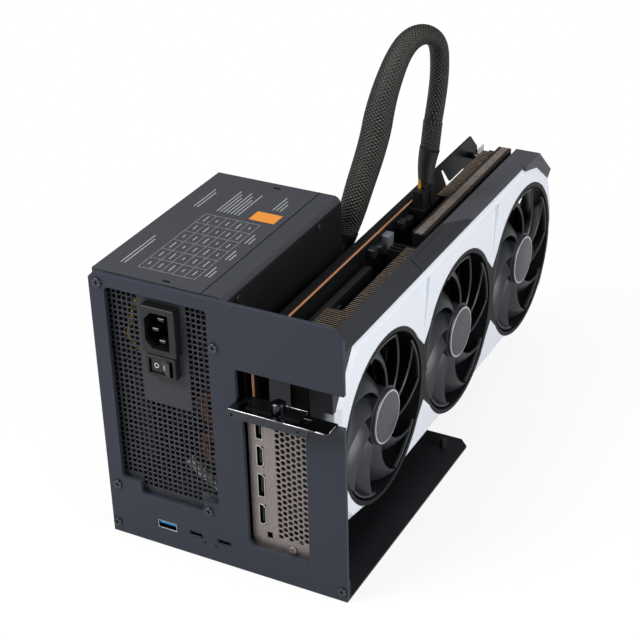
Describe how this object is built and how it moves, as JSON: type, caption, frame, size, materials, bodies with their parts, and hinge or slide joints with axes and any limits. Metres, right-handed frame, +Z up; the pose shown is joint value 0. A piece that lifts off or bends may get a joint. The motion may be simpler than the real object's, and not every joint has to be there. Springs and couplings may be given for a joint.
{
  "type": "external graphics card dock",
  "caption": "Open external graphics card dock: an upright plate on a base carries a power supply and a fan-cooled graphics card, joined by a sleeved power cable.",
  "frame": {"origin": "middle of the base plate's underside, front plate included", "axes": "+X to the right seen from the front plate, +Y to the rear along the card, +Z up"},
  "size_m": [0.16, 0.3637, 0.268],
  "materials": {
    "frame_paint": "semi-matt slate grey powder coat",
    "base_paint": "black powder coat",
    "psu_paint": "fine textured dark grey paint",
    "backplate_paint": "satin black",
    "rubber_black": "matt",
    "screw_black": "black oxide",
    "screw_steel": "satin",
    "board_black": "solder mask",
    "socket_black": "matt",
    "brass_posts": "turned",
    "shell_steel": "plated",
    "tongue_blue": "satin",
    "fin_metal": "pressed sheet",
    "strip_metal": "pressed sheet",
    "rocker_black": "satin",
    "wrap_tape": "taped winding",
    "copper_wire": "bare copper",
    "can_sleeve": "sleeved",
    "lead_yellow": "insulation",
    "bracket_steel": "plated, satin",
    "chip_dark": "polished",
    "shroud_white": "satin white",
    "fan_black": "satin",
    "trim_black": "fine texture",
    "shrink_black": "heat-shrink",
    "braid_black": "braided sleeve"
  },
  "bodies": {
    "dock": {"backplate_screws": "screw_black", "base_plate": "base_paint", "base_post": "rubber_black", "board_power_socket": "socket_black", "board_screws": "screw_steel", "board_spreader": "fin_metal", "board_standoffs": "brass_posts", "cable_grommet": "rubber_black", "card_backplate": "backplate_paint", "card_board": "board_black", "card_bracket": "bracket_steel", "card_power_socket": "socket_black", "card_shelf": "base_paint", "card_thumbscrew": "screw_black", "cold_plate": "copper_wire", "controller_heatsink": "fin_metal", "dock_board": "board_black", "earth_lead": "lead_yellow", "fan_frame": "fan_black", "fin_strip": "strip_metal", "fins_front": "fin_metal", "fins_rear": "fin_metal", "frame_screws": "screw_black", "front_plate": "frame_paint", "gpu_chip": "chip_dark", "heat_pipes": "copper_wire", "inlet_pins": "shell_steel", "mains_inlet": "socket_black", "pcie_slot": "socket_black", "plug_sleeve": "shrink_black", "plug_wires": "lead_yellow", "power_cable": "braid_black", "power_plug": "socket_black", "psu_board": "board_black", "psu_capacitors": "can_sleeve", "psu_case_screws": "screw_black", "psu_coils": "copper_wire", "psu_cover": "psu_paint", "psu_fan_frame": "socket_black", "psu_heatsinks": "fin_metal", "psu_screws": "screw_black", "psu_sleeve": "shrink_black", "psu_transformer": "wrap_tape", "psu_tray": "psu_paint", "shroud": "shroud_white", "switch_frame": "socket_black", "trim_front": "trim_black", "trim_middle": "trim_black", "trim_rear": "trim_black", "usb_a_port": "shell_steel", "usb_c_ports": "shell_steel", "usb_tongues": "tongue_blue", "video_sockets_narrow": "shell_steel", "video_sockets_wide": "shell_steel", "video_tongues": "socket_black"},
    "fan_1": {"fan_1": "fan_black"},
    "fan_2": {"fan_2": "fan_black"},
    "fan_3": {"fan_3": "fan_black"},
    "psu_fan": {"psu_fan": "socket_black"},
    "rocker": {"rocker": "rocker_black"}
  },
  "joints": [
    {"name": "fan_1_spin", "type": "hinge", "parent": "dock", "child": "fan_1", "pos_m": [0.06, -0.0135, 0.079], "axis": [1, 0, 0], "continuous": true},
    {"name": "fan_2_spin", "type": "hinge", "parent": "dock", "child": "fan_2", "pos_m": [0.06, 0.096, 0.079], "axis": [1, 0, 0], "continuous": true},
    {"name": "fan_3_spin", "type": "hinge", "parent": "dock", "child": "fan_3", "pos_m": [0.06, 0.2055, 0.079], "axis": [1, 0, 0], "continuous": true},
    {"name": "psu_fan_spin", "type": "hinge", "parent": "dock", "child": "psu_fan", "pos_m": [-0.068, -0.0155, 0.105], "axis": [1, 0, 0], "continuous": true},
    {"name": "rocker_tip", "type": "hinge", "parent": "dock", "child": "rocker", "pos_m": [-0.0353, -0.0876, 0.1281], "axis": [0, 0, 1], "range_deg": [0, 20]}
  ]
}
